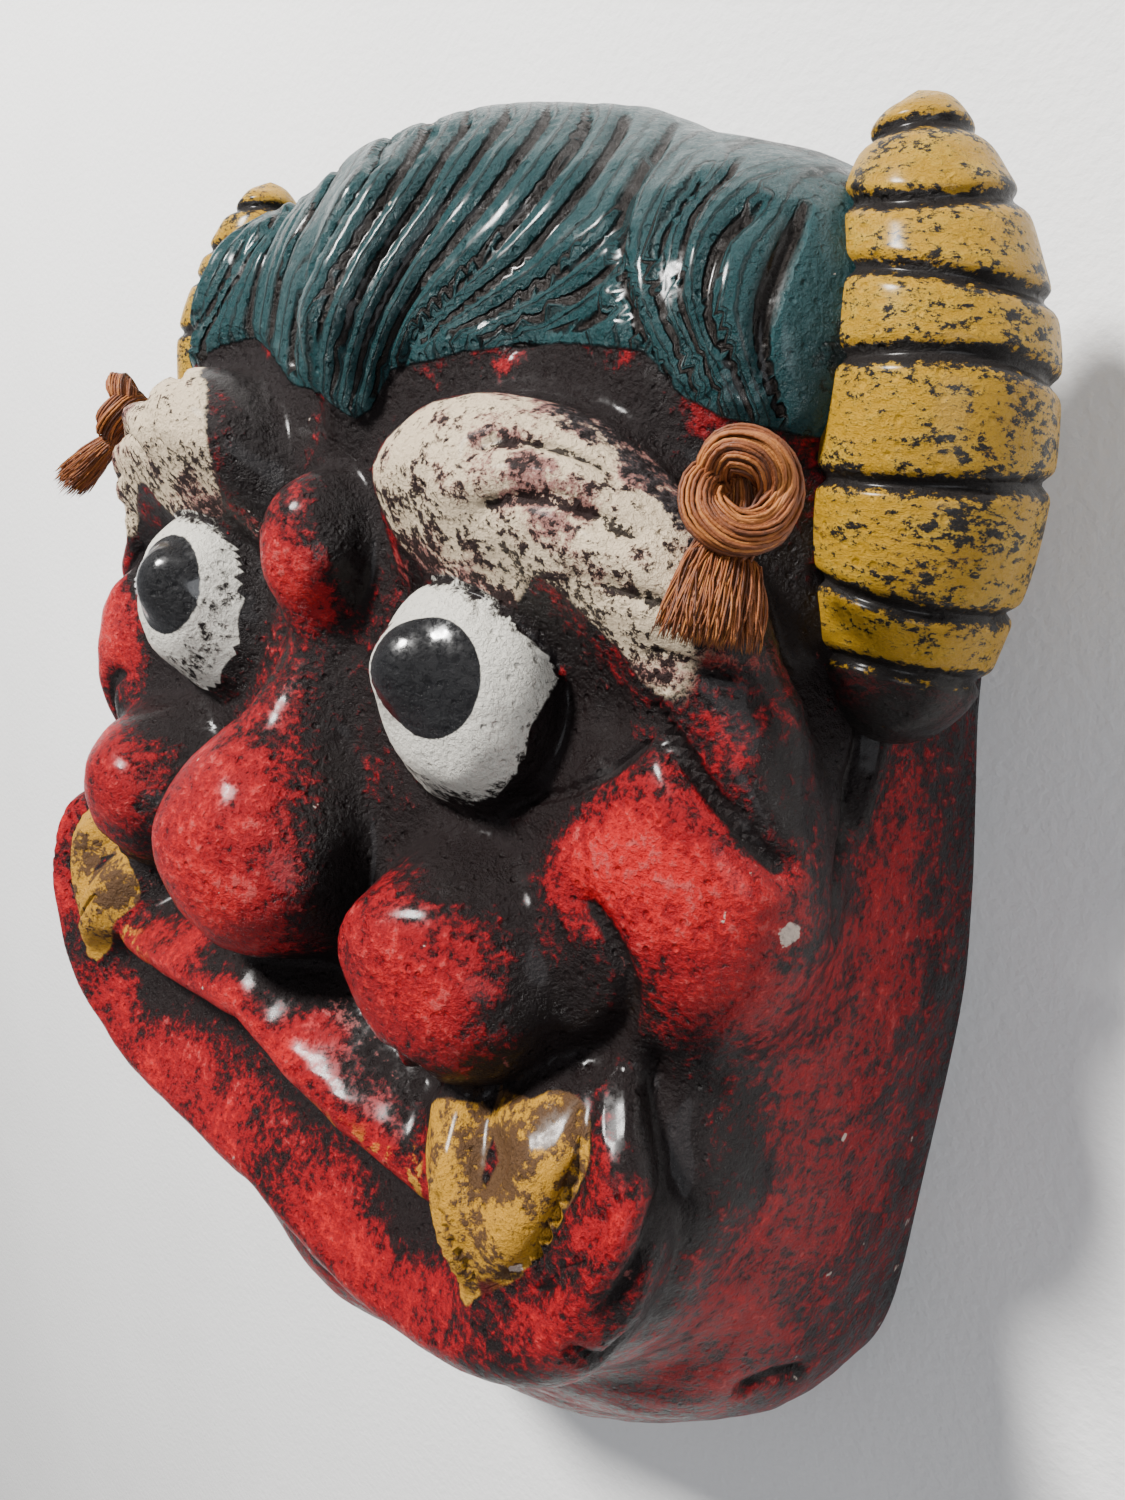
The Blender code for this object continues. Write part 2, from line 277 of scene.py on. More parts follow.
# picture points, groove width and depth in millimetres; each is carved on both sides of the face
creases = [
    ([(462, 450), (502, 440), (550, 444), (600, 462), (630, 482)], 1.3, 1.3),
    ([(455, 520), (502, 500), (555, 499), (607, 523), (657, 550)], 1.5, 1.8),
    ([(555, 578), (607, 585), (664, 606), (700, 640)], 1.5, 1.8),
    ([(626, 652), (683, 663), (745, 692)], 1.4, 1.5),
    ([(426, 475), (409, 504), (407, 545)], 1.1, 1.2),
    ([(463, 576), (525, 600), (580, 645), (610, 700)], 1.5, 1.5),
    ([(504, 805), (575, 790), (625, 760), (655, 735)], 1.6, 1.4),
    ([(640, 690), (700, 780), (760, 850), (795, 880)], 2.2, 2.2),
    ([(850, 655), (866, 720), (852, 800), (842, 870), (836, 945)], 2.0, 2.6),
    ([(640, 1040), (662, 1110), (668, 1190), (640, 1270), (590, 1340)], 3.0, 2.5),
    ([(590, 1085), (572, 1180), (520, 1285)], 1.1, 1.6),
    ([(427, 1165), (440, 1225), (480, 1292)], 1.0, 1.4),
    ([(380, 1045), (450, 1090), (530, 1100), (600, 1060)], 2.2, 1.8),
    ([(530, 1090), (600, 1050), (625, 1000), (600, 930), (560, 880)], 3.0, 2.2),
    ([(620, 1110), (612, 1190), (575, 1260), (500, 1310)], 1.5, 1.6),
    ([(560, 1353), (600, 1365), (640, 1330)], 1.6, 1.4),
    ([(735, 1392), (770, 1378), (810, 1372)], 2.2, 2.0),
]
# picture points, radius in millimetres and how much red (above 0) or black (below 0) lies there
patches = [
    ((190, 830), 20, 1.0), ((235, 925), 15, 1.0), ((262, 770), 12, 0.6), ((345, 915), 12, 0.8),
    ((400, 985), 14, 1.0), ((470, 940), 10, 0.3), ((285, 575), 9, 1.2), ((318, 612), 6, 1.0),
    ((350, 520), 9, -0.9), ((640, 850), 13, 0.9), ((700, 925), 17, 1.0), ((690, 840), 9, 0.5),
    ((230, 985), 8, 1.0), ((300, 1040), 8, 1.1), ((380, 1105), 8, 0.9), ((150, 1060), 9, 1.1),
    ((225, 1125), 9, 1.1), ((330, 1212), 9, 1.3), ((430, 1290), 10, 1.3), ((540, 1325), 9, 1.2),
    ((615, 1240), 8, 1.1), ((740, 1290), 20, 1.1), ((790, 1120), 20, 0.7), ((880, 960), 18, 0.8),
    ((905, 830), 12, 0.9), ((690, 1380), 12, 0.2), ((860, 1200), 14, 0.4), ((720, 765), 5, 1.0),
    ((120, 665), 9, 1.1), ((150, 765), 9, 1.0), ((70, 800), 9, 1.0), ((500, 840), 12, -1.0),
    ((420, 840), 9, -0.8), ((560, 1010), 9, -1.2), ((610, 960), 9, -1.0), ((655, 1130), 7, -1.0),
    ((620, 730), 8, -1.2), ((560, 770), 8, -1.0), ((850, 760), 9, -0.8), ((340, 690), 8, -0.7),
    ((330, 760), 7, -0.2), ((400, 460), 8, -1.0), ((250, 470), 9, -1.2), ((640, 1330), 7, -1.1),
    ((760, 1180), 7, -0.8), ((700, 1210), 8, -0.9), ((760, 780), 9, -0.5), ((420, 1200), 9, -0.9),
    ((560, 1230), 6, -0.3), ((800, 640), 9, -0.9), ((500, 1355), 8, -0.5), ((900, 700), 8, 0.1),
    ((561, 676), 1.5, 3.5), ((535, 605), 1.4, 3.0), ((560, 372), 9, -0.9), ((640, 400), 9, -1.0),
    ((480, 380), 7, -0.5), ((400, 400), 8, -1.0), ((350, 440), 8, -0.9), ((300, 405), 8, -0.8),
    ((505, 358), 3, 1.6), ((624, 356), 3, 1.4), ((700, 420), 4, 1.5),
]
# the larger knocks down to the pale cast: picture point and radius in millimetres
chipSpots = [((790, 933), 2.0), ((722, 915), 0.9), ((843, 1138), 0.9), ((907, 1222), 1.0), ((897, 1268), 0.9),
             ((516, 1269), 1.3), ((393, 1274), 0.7)]
# picture points of the hairline and of the grey that covers the brow's upper end
hairEdge = [(198, 366), (221, 347), (255, 337), (274, 356), (293, 385), (321, 394), (340, 411), (360, 418),
            (374, 409), (383, 385), (393, 368), (436, 361), (460, 353), (507, 346), (540, 342), (579, 344),
            (621, 349), (645, 352), (662, 377), (680, 396), (702, 406), (721, 418), (760, 426), (800, 436)]
greyEdge = [(520, 380), (560, 400), (607, 440), (655, 490), (692, 545), (740, 600)]
pupilSpot = {"at": (421, 678), "radius": 10.6}
eyeRow = [(452, 696), (500, 680), (548, 671)]
browRow = [(432, 505), (470, 470), (525, 465), (585, 490), (640, 560), (700, 640), (765, 688)]
fangNotch = [(520, 1100), (520, 1150), (506, 1225)]
fangMiddle = [(495, 1172), (503, 1180), (511, 1188)]

# picture points, radius and height in millimetres
bulges = [
    ([(300, 900), (335, 925), (370, 940)], 9.0, 2.4), ([(728, 826), (738, 830)], 2.0, 1.1),
    ([(559, 676), (563, 676)], 1.1, 1.0), ([(533, 605), (537, 605)], 1.1, 1.0),
    ([(873, 670), (881, 740), (862, 830)], 1.6, 1.5), ([(650, 770), (720, 850), (770, 890)], 5.0, 1.2),
    ([(500, 590), (560, 640), (600, 700)], 3.0, 1.4), ([(640, 1060), (628, 1120), (600, 1200)], 1.6, 1.2),
    ([(470, 820), (540, 810), (590, 780)], 3.0, 1.2), ([(640, 680), (700, 740), (780, 830)], 3.0, 1.0),
    ([(560, 480), (620, 520), (680, 600)], 3.0, 1.0), ([(450, 490), (520, 470), (580, 480)], 3.0, 1.0),
    ([(600, 545), (650, 590), (720, 640)], 3.0, 1.2), ([(521, 1105), (520, 1140), (516, 1165)], 3.6, 3.2),
]

# the inner grid has half as many segments as the outer one, so that the rim can join them two to one
maskPiece = {"segments": 280, "inner": 140, "hairGroove": (1.25, 2.4), "hairFine": (0.6, 0.6),
             "finePlaces": (0.35, 0.68), "rightStrokes": 14, "hairStep": 2.0, "rimFade": 6.0,
             "reaches": (4.0, 10.0, 22.0), "redSide": (-0.30, -0.50, 0.81), "steepSpan": 4.2,
             "crown": 38}


def wobble(P, seed, scale, height):
    # soft unevenness from a few waves laid through each other
    chance = np.random.default_rng(seed)
    out = np.zeros(len(P))
    for i in range(14):
        way = chance.normal(size=3)
        run = P @ (way / np.linalg.norm(way))
        out += np.sin(run * scale * chance.uniform(0.5, 1.8) + chance.uniform(0, 7))
    return out / 14 ** 0.5 * height


def grooveDepth(P, line, width, depth):
    # only points within reach of the line are measured
    middle = line.mean(0)
    reach = np.linalg.norm(line - middle, axis=1).max() + width * 4
    near = np.linalg.norm(P - middle, axis=1) < reach
    out = np.zeros(len(P))
    if near.any():
        w, t = nearLine(P[near], line)
        fade = np.clip(t / 0.08, 0, 1) * np.clip((1 - t) / 0.12, 0, 1)
        out[near] = depth * np.exp(-(w / width) ** 2) * fade
    return out


def normals(P, side):
    G = P.reshape(side, side, 3)
    n = np.cross(np.gradient(G, axis=1), np.gradient(G, axis=0)).reshape(-1, 3)
    n /= np.maximum(np.linalg.norm(n, axis=1, keepdims=True), 1e-9)
    n[(n * (P - (0, rayMiddle, -20))).sum(1) < 0] *= -1
    return n


def evened(P, side, steepSpan):
    # where the grid runs steeply down behind a bulge, its points are drawn to the middle of their neighbours
    G = P.reshape(side, side, 3).copy()
    for i in range(10):
        mid = (G[:-2, 1:-1] + G[2:, 1:-1] + G[1:-1, :-2] + G[1:-1, 2:]) / 4
        span = np.maximum(np.linalg.norm(G[2:, 1:-1] - G[:-2, 1:-1], axis=2),
                          np.linalg.norm(G[1:-1, 2:] - G[1:-1, :-2], axis=2))
        share = np.clip((span - steepSpan) / 3.0, 0, 0.8)[..., None]
        G[1:-1, 1:-1] += (mid - G[1:-1, 1:-1]) * share
    return G.reshape(-1, 3)


def relief(P, look, lines, creaseLines):
    # the grooves between strands of hair, the creases of the face, and how far each point is from a crease
    S = mirrored(P)
    carve = np.zeros(len(P))
    for k, line in enumerate(lines):
        carve = np.maximum(carve, grooveDepth(P, line, *look["hairGroove"]))
        if k >= look["rightStrokes"]:
            carve = np.maximum(carve, grooveDepth(P, line * (-1, 1, 1), *look["hairGroove"]))
    for a, b in zip(lines[:-1], lines[1:]):
        if len(a) == len(b):
            for share in look["finePlaces"]:
                between = a * (1 - share) + b * share
                carve = np.maximum(carve, grooveDepth(P, between, *look["hairFine"]))
    hairCarve = carve.copy()
    gap = np.full(len(P), 9.0)
    for line, (points, width, depth) in zip(creaseLines, creases):
        line[:, 0] = np.abs(line[:, 0])
        carve = np.maximum(carve, grooveDepth(S, line, width, depth))
        w, t = nearLine(S, line)
        fade = 1.5 * (np.clip(1 - t / 0.15, 0, 1) + np.clip((t - 0.85) / 0.15, 0, 1))
        gap = np.minimum(gap, w / width + fade)
    return carve, hairCarve, gap


def swell(P, look):
    # low bulges, beads and ridges on the cast, laid on both sides
    S = mirrored(P)
    out = np.zeros(len(P))
    for line, (points, radius, height) in zip(along([b[0] for b in look]), look):
        line[:, 0] = np.abs(line[:, 0])
        w = nearLine(S, line)[0]
        out += height * np.exp(-(w / radius) ** 2)
    return out


def blotches(P):
    # patches of red and black; those near the middle line are not repeated on the left
    out = np.zeros(len(P))
    for spot, (where, radius, much) in zip(landing([p[0] for p in patches]), patches):
        for flip in (1, -1):
            if flip > 0 or abs(spot[0]) > 25:
                far = np.linalg.norm(P - spot * (flip, 1, 1), axis=1)
                out += much * np.exp(-(far / radius) ** 2)
    return out


def sortedAcross(points):
    return points[np.argsort(points[:, 0])]


def hairHeight(P):
    # how far above the hairline a point is; left of its first point the line repeats the right side
    edge = sortedAcross(landing(hairEdge))
    across = np.where(P[:, 0] < edge[0, 0], -P[:, 0], P[:, 0])
    return P[:, 1] - np.interp(across, edge[:, 0], edge[:, 1])


def eyePlaces(P, S):
    w, t = nearLine(S, landing(eyeRow))
    eye = np.interp(t, [0, 0.4, 1], [18.6, 15.5, 3.0]) - w
    eye = np.minimum(eye, 2.2 - form(S, "eye"))
    eye = np.maximum(eye, 1.5 - form(S, "eye") - 2.2 * (S[:, 2] < 83))
    # both eyes look to the same side, so the left one keeps the form's own pupil
    spot = landing([pupilSpot["at"]])[0]
    right = pupilSpot["radius"] - np.linalg.norm(S - spot, axis=1)
    pupil = np.where(P[:, 0] > 0, right, 1.6 - form(S, "pupil"))
    return np.maximum(eye, pupil + 0.8), pupil


def browPlaces(S):
    w, t = nearLine(S, along([browRow])[0])
    cream = np.minimum(3.2 - form(S, "brow"), np.interp(t, [0, 1], [21, 11]) - w)
    cream -= np.clip(S[:, 0] - 88, 0, 9) * 0.4
    edge = sortedAcross(landing(greyEdge))
    above = S[:, 1] - np.interp(S[:, 0], edge[:, 0], edge[:, 1])
    return cream, np.clip(above / 5 + 0.5, 0, 1) * (S[:, 0] > 40)


def mouthPlaces(P, S, N):
    notch, middle = along([fangNotch, fangMiddle])
    fang = 0.9 - np.minimum(form(S, "fang"), form(S, "fang back"))
    fang = np.maximum(fang, 5.0 - nearLine(S, notch)[0])
    wear = np.clip(1.3 - nearLine(S, middle)[0] / 5.5, 0, 1)
    gum = np.clip((-84 - S[:, 1]) / 5, 0, 1) * np.clip((S[:, 0] - 79) / 4, 0, 1)
    lip = 1.5 - np.minimum(form(S, "lower lip"), form(S, "upper lip"))
    gold = np.clip(1.6 - np.abs(P[:, 1] + 92 - 0.001 * P[:, 0] ** 2) / 9, 0, 1) * (S[:, 0] < 62)
    lipRed = np.clip(2.4 - form(S, "upper lip"), 0, 1) * np.clip(N[:, 2] * 2, 0, 1)
    return {"fang": fang, "wear": wear, "gum": gum, "lip": lip, "gold": gold}, lipRed * (S[:, 0] < 66)


def knocks(P):
    chip = np.zeros(len(P))
    for spot, (where, radius) in zip(landing([c[0] for c in chipSpots]), chipSpots):
        chip = np.maximum(chip, 2 - np.linalg.norm(P - spot, axis=1) / radius)
    return chip


def paintPlaces(P, N, look, lines):
    # one number for each point and layer of paint, mostly a distance inside its edge in millimetres
    S = mirrored(P)
    near, mid, wide = (1 - np.clip(face(P + N * h) / h, -0.5, 1.2) for h in look["reaches"])
    print("hollows measured")
    data, lipRed = mouthPlaces(P, S, N)
    data["red"] = 0.45 * (N @ np.array(look["redSide"]) - 0.55) + blotches(P) + 0.75 * lipRed
    data["cream"], data["grey"] = browPlaces(S)
    data["eye"], data["pupil"] = eyePlaces(P, S)
    crown = P[:, 1] > look["crown"]
    data["strand"] = np.zeros(len(P))
    data["strand"][crown] = strandField(P[crown], lines)
    data.update({"near": near, "mid": mid, "wide": wide, "chip": knocks(P)})
    return data


def rimKey(u, w):
    return round(u * 999), round(w * 999)


def rimKeys(verts, at):
    return {rimKey(u, w): v for v, (u, w) in zip(verts, at[:, :2]) if max(abs(u), abs(w)) > 0.9999}


def joinRim(bm, outerRim, innerRim, outerCount, innerCount):
    # the flat rim, two outer edges to each inner one
    corners = [(-1, -1), (1, -1), (1, 1), (-1, 1)]
    for (u0, w0), (u1, w1) in zip(corners, corners[1:] + corners[:1]):
        inner, outer = ([rimKey(u0 + (u1 - u0) * i / c, w0 + (w1 - w0) * i / c) for i in range(c + 1)]
                        for c in (innerCount, outerCount))
        for i in range(innerCount):
            i0, i1 = innerRim[inner[i]], innerRim[inner[i + 1]]
            o0, o1, o2 = (outerRim[outer[2 * i + j]] for j in range(3))
            for corner in ((o0, o1, i0), (o1, i1, i0), (o1, o2, i1)):
                bm.faces.new(corner)


paintNames = ["chip", "wear", "gap", "gold", "grey", "gum", "strand", "hair", "cream", "eye", "pupil", "fang",
              "lip", "red", "carve", "hairCarve", "near", "mid", "wide"]


def sculpt(look):
    outerCount, innerCount = look["segments"], look["inner"]
    bm = bmesh.new()
    layers = {k: bm.verts.layers.float.new(k) for k in paintNames}
    made = bmesh.ops.create_grid(bm, x_segments=outerCount, y_segments=outerCount, size=1)["verts"]
    at = np.array([v.co[:] for v in made])
    order = np.lexsort((at[:, 0].round(5), at[:, 1].round(5)))
    made = [made[i] for i in order]
    at = at[order]
    P = evened(drop(layOut(at[:, 0], at[:, 1]), face), outerCount + 1, look["steepSpan"])
    P[np.abs(at).max(1) > 0.9999, 2] = 0
    N = normals(P, outerCount + 1)
    print("form traced")
    lines = along(hairStrokes)
    carve, hairCarve, gap = relief(P, look, lines, along([c[0] for c in creases]))
    raised = swell(P, bulges) + wobble(P, 3, 0.16, 0.35) + wobble(P, 4, 0.5, 0.14)
    hair = hairHeight(P)
    raised += np.clip(hair, 0, look["hairStep"])
    print("strokes carved")
    low = np.clip(P[:, 2] / look["rimFade"], 0, 1)
    for v, q in zip(made, P + N * ((raised - carve) * low)[:, None]):
        v.co = place(q)
    data = paintPlaces(P, N, look, lines)
    data.update({"hair": hair, "gap": gap, "carve": carve, "hairCarve": hairCarve})
    for k, layer in layers.items():
        for v, x in zip(made, data[k]):
            v[layer] = float(x)
    outerRim = rimKeys(made, at)
    outerFaces = len(bm.faces)
    back = bmesh.ops.create_grid(bm, x_segments=innerCount, y_segments=innerCount, size=1)["verts"]
    at = np.array([v.co[:] for v in back])
    B = drop(layOut(at[:, 0], at[:, 1]), hollow)
    B[np.abs(at).max(1) > 0.9999, 2] = 0
    innerRim = rimKeys(back, at)
    for v, q in zip(back, B):
        v.co = place(q)
    joinRim(bm, outerRim, innerRim, outerCount, innerCount)
    bm.faces.ensure_lookup_table()
    for f in bm.faces[outerFaces:]:
        f.material_index = 1
    bmesh.ops.recalc_face_normals(bm, faces=bm.faces[:])
    return bm


def strandField(P, lines):
    # a number that grows by one from each hair groove to the next
    reach = np.full((len(lines), len(P)), 1e9)
    for k, line in enumerate(lines):
        reach[k] = nearLine(P, line)[0]
    first = np.argmin(reach, axis=0)
    cols = np.arange(len(P))
    up = np.where(first + 1 < len(lines), reach[np.minimum(first + 1, len(lines) - 1), cols], 1e8)
    down = np.where(first > 0, reach[np.maximum(first - 1, 0), cols], 1e8)
    toward = np.where(up < down, 1, -1)
    second = np.minimum(up, down)
    return first + toward * reach[first, cols] / np.maximum(reach[first, cols] + second, 1e-6)


def pieceFrom(bm, name, materials):
    mesh = bpy.data.meshes.new(name)
    for f in bm.faces:
        f.smooth = True
    bm.to_mesh(mesh)
    bm.free()
    for m in materials:
        mesh.materials.append(m)
    piece = bpy.data.objects.new(name, mesh)
    bpy.context.scene.collection.objects.link(piece)
    print(name, len(mesh.polygons), "faces")
    return piece


def newMaterial(name):
    m = bpy.data.materials.new(name)
    m.use_nodes = True
    m.node_tree.nodes.clear()
    out = m.node_tree.nodes.new("ShaderNodeOutputMaterial")
    shader = m.node_tree.nodes.new("ShaderNodeBsdfPrincipled")
    m.node_tree.links.new(shader.outputs[0], out.inputs[0])
    return m, shader


def feed(tree, socket, value):
    # a socket is linked, a colour or number is set
    if isinstance(value, bpy.types.NodeSocket):
        tree.links.new(value, socket)
    elif isinstance(value, tuple) and len(value) == 3 and socket.type == "RGBA":
        socket.default_value = (*value, 1)
    else:
        socket.default_value = value


# each helper from here to bump adds nodes to a material; all but bump give back the last one's output
def attribute(tree, name):
    n = tree.nodes.new("ShaderNodeAttribute")
    n.attribute_name = name
    return n.outputs["Fac"]


def noise(tree, scale, detail=4.0, rough=0.6, stretch=None):
    where = tree.nodes.new("ShaderNodeTexCoord").outputs["Object"]
    if stretch:
        m = tree.nodes.new("ShaderNodeMapping")
        tree.links.new(where, m.inputs[0])
        m.inputs["Scale"].default_value = stretch
        where = m.outputs[0]
    n = tree.nodes.new("ShaderNodeTexNoise")
    tree.links.new(where, n.inputs["Vector"])
    n.inputs["Scale"].default_value = scale
    n.inputs["Detail"].default_value = detail
    n.inputs["Roughness"].default_value = rough
    return n.outputs["Fac"]


def cells(tree, scale):
    n = tree.nodes.new("ShaderNodeTexVoronoi")
    tree.links.new(tree.nodes.new("ShaderNodeTexCoord").outputs["Object"], n.inputs["Vector"])
    n.inputs["Scale"].default_value = scale
    return n.outputs["Distance"]


def sums(tree, *terms):
    # adds sockets, each with its own weight; a bare number is an offset
    total = None
    offset = sum(t for t in terms if not isinstance(t, tuple))
    for socket, weight in [t for t in terms if isinstance(t, tuple)]:
        n = tree.nodes.new("ShaderNodeMath")
        n.operation = "MULTIPLY_ADD"
        tree.links.new(socket, n.inputs[0])
        n.inputs[1].default_value = weight
        feed(tree, n.inputs[2], offset if total is None else total)
        total = n.outputs[0]
    return total


def times(tree, a, b, kind="MULTIPLY"):
    n = tree.nodes.new("ShaderNodeMath")
    n.operation = kind
    feed(tree, n.inputs[0], a)
    feed(tree, n.inputs[1], b)
    return n.outputs[0]


def step(tree, value, low, high, start=0.0, end=1.0):
    n = tree.nodes.new("ShaderNodeMapRange")
    n.interpolation_type = "SMOOTHSTEP"
    tree.links.new(value, n.inputs["Value"])
    n.inputs["From Min"].default_value = low
    n.inputs["From Max"].default_value = high
    n.inputs["To Min"].default_value = start
    n.inputs["To Max"].default_value = end
    return n.outputs[0]


def over(tree, below, colour, amount):
    n = tree.nodes.new("ShaderNodeMix")
    n.data_type = "RGBA"
    feed(tree, n.inputs["Factor"], amount)
    feed(tree, n.inputs[6], below)
    feed(tree, n.inputs[7], colour)
    return n.outputs[2]


def bump(tree, shader, layers):
    # height layers in metres, each laid on the one before
    last = None
    for height, distance in layers:
        n = tree.nodes.new("ShaderNodeBump")
        tree.links.new(height, n.inputs["Height"])
        n.inputs["Distance"].default_value = distance
        if last:
            tree.links.new(last, n.inputs["Normal"])
        last = n.outputs[0]
    tree.links.new(last, shader.inputs["Normal"])


paintLook = {
    "wash": (0.010, 0.006, 0.006), "deep": (0.075, 0.003, 0.005), "red": (0.270, 0.004, 0.008),
    "bright": (0.50, 0.010, 0.012), "worn": (0.40, 0.11, 0.10), "teal": (0.010, 0.046, 0.050),
    "tealWornAndSheen": (0.055, 0.105, 0.108), "groove": (0.016, 0.012, 0.010), "cream": (0.74, 0.59, 0.40),
    "stain": (0.20, 0.03, 0.05), "grey": (0.040, 0.034, 0.036), "white": (0.80, 0.77, 0.68),
    "black": (0.005, 0.005, 0.006), "gold": (0.50, 0.25, 0.022), "fangDirt": (0.060, 0.030, 0.020),
    "chip": (0.62, 0.50, 0.42),
}


def paintedPlaster(look):
    m, shader = newMaterial("painted_plaster")
    t = m.node_tree
    broad = noise(t, 42, 5, 0.62)
    blot = noise(t, 120, 6, 0.72)
    fine = noise(t, 480, 6, 0.75)
    grain = noise(t, 1500, 3, 0.6)
    near, mid, wide = attribute(t, "near"), attribute(t, "mid"), attribute(t, "wide")
    red, carve = attribute(t, "red"), attribute(t, "carve")
    gap = attribute(t, "gap")
    ditch = step(t, sums(t, (gap, 1.0), (fine, -1.6), 0.8), 0.25, 0.75, 1.0, 0.0)
    amount = sums(t, (red, 0.56), (broad, 1.2), (blot, 2.0), (fine, 2.4), (grain, 0.8), (mid, -1.0),
                  (wide, -0.5), (carve, -0.15), (ditch, -0.9), -2.97)
    colour = over(t, look["wash"], look["deep"], step(t, amount, -0.12, 0.16))
    colour = over(t, colour, look["red"], step(t, amount, 0.16, 0.46))
    colour = over(t, colour, look["bright"], step(t, amount, 0.62, 1.15))
    rubbed = sums(t, (blot, 1.0), (fine, 1.6), (near, -1.0), (red, 0.10), -1.3)
    colour = over(t, colour, look["worn"], step(t, rubbed, 0.22, 0.40, 0, 0.45))

    lip = sums(t, (attribute(t, "lip"), 0.45), (carve, -0.3), (fine, 2.2), (blot, 1.4), -1.9)
    marks = step(t, sums(t, (noise(t, 190, 3, 0.6), 1.0), (fine, 0.8)), 0.96, 1.04)
    gold = times(t, times(t, step(t, attribute(t, "gold"), 0.2, 0.8), marks), step(t, lip, 0.0, 0.5))
    colour = over(t, colour, look["gold"], times(t, gold, 0.85))

    cream = sums(t, (attribute(t, "cream"), 0.5), (fine, 1.4), (blot, 1.2), -1.3)
    creamMask = step(t, cream, -0.15, 0.35)
    stained = sums(t, (broad, 2.0), (blot, 1.6), (fine, 0.8), (mid, 0.5), (attribute(t, "grey"), 0.5), -2.2)
    creamBase = over(t, look["cream"], look["stain"], step(t, stained, 0.02, 0.30, 0, 0.8))
    greyed = sums(t, (attribute(t, "grey"), 1), (blot, 1.2), (fine, 1.6), -1.4)
    creamBase = over(t, creamBase, look["grey"], step(t, greyed, 0.35, 0.65))
    dirty = sums(t, (ditch, 0.8), (near, 0.6), (mid, 0.6), (fine, 3.2), (blot, 2.2), (broad, 0.8), -2.84)
    creamBase = over(t, creamBase, look["wash"], step(t, dirty, 0.42, 0.72, 0, 0.95))
    colour = over(t, colour, creamBase, creamMask)

    eyeMask = step(t, sums(t, (attribute(t, "eye"), 0.8), (fine, 0.7), -0.35), -0.1, 0.3)
    smeared = sums(t, (near, 1.2), (blot, 1.0), (fine, 1.4))
    white = over(t, look["white"], look["wash"], step(t, smeared, 1.42, 1.72))
    colour = over(t, colour, white, eyeMask)
    pupilMask = step(t, sums(t, (attribute(t, "pupil"), 1), (fine, 0.8), -0.4), -0.1, 0.15)
    colour = over(t, colour, look["black"], pupilMask)

    fangMask = step(t, sums(t, (attribute(t, "fang"), 0.8), (fine, 1.0), -0.5), -0.1, 0.3)
    soiled = sums(t, (broad, 1.4), (blot, 1.3), (fine, 1.2), (near, 0.5), (attribute(t, "wear"), 0.3), -2.04)
    tooth = over(t, look["gold"], look["fangDirt"], step(t, soiled, 0.02, 0.22, 0, 0.92))
    gum = sums(t, (attribute(t, "gum"), 1), (blot, 0.8))
    tooth = over(t, tooth, look["deep"], step(t, gum, 0.85, 1.15, 0, 0.9))
    colour = over(t, colour, tooth, fangMask)

    hairMask = step(t, sums(t, (attribute(t, "hair"), 0.8), (fine, 1.0), -0.5), -0.15, 0.25)
    strand = attribute(t, "strand")
    ridge = times(t, sums(t, (strand, 1.0), (fine, 0.10), 30.0), 0.5, "PINGPONG")
    thread = times(t, sums(t, (strand, 3.0), (blot, 0.5), (fine, 0.3), 30.0), 0.5, "PINGPONG")
    hairCut = attribute(t, "hairCarve")
    strands = step(t, sums(t, (ridge, 1), (hairCut, -0.06)), 0.0, 0.075)
    threads = step(t, thread, 0.02, 0.16, 0.45, 1.0)
    # paler teal on the strands' crests and away from the hollows: partly worn paint, partly painted sheen
    wearAndSheen = sums(t, (blot, 1.2), (fine, 1.2), (ridge, 0.5), (hairCut, -0.1), (near, -0.6), -1.3)
    teal = over(t, look["teal"], look["tealWornAndSheen"], step(t, wearAndSheen, 0.12, 0.55, 0, 0.8))
    hairColour = over(t, look["groove"], teal, times(t, strands, threads))
    faded = step(t, sums(t, (broad, 1), (fine, 0.8)), 1.14, 1.24, 0, 0.25)
    hairColour = over(t, hairColour, look["worn"], faded)
    colour = over(t, colour, hairColour, hairMask)
    knocked = step(t, sums(t, (attribute(t, "chip"), 1.0), (fine, 1.6), -0.8), 0.95, 1.1)
    colour = over(t, colour, look["chip"], knocked)
    specks = sums(t, (noise(t, 260, 2, 0.5), 1), (noise(t, 900, 2, 0.5), 0.35), (near, -0.5))
    chips = step(t, specks, 0.94, 0.97)
    colour = over(t, colour, look["chip"], times(t, chips, 0.8))
    feed(t, shader.inputs["Base Color"], colour)

    gloss = step(t, sums(t, (fine, 1), (blot, 0.6)), 0.60, 1.0, 0.26, 0.56)
    rough = sums(t, (gloss, 1), (pupilMask, -0.08), (hairMask, -0.04), (creamMask, 0.14))
    feed(t, shader.inputs["Roughness"], rough)
    shader.inputs["Specular IOR Level"].default_value = 0.16
    coat = sums(t, (pupilMask, 0.8), (hairMask, 0.10), (creamMask, -0.1), (eyeMask, -0.06), 0.12)
    feed(t, shader.inputs["Coat Weight"], coat)
    feed(t, shader.inputs["Coat Roughness"], step(t, fine, 0.4, 0.65, 0.10, 0.28))
    pits = step(t, cells(t, 330), 0.10, 0.26)
    ditchBottom = step(t, gap, 0.0, 1.1)
    layers = [(grain, 0.0002), (fine, 0.0009), (blot, 0.0013), (pits, 0.0004), (ditchBottom, 0.0009),
              (times(t, strands, hairMask), 0.0014), (times(t, threads, hairMask), 0.0009)]
    bump(t, shader, layers)
    return m


plasterLook = {"pale": (0.50, 0.44, 0.36), "stained": (0.30, 0.23, 0.16), "dark": (0.10, 0.07, 0.05)}


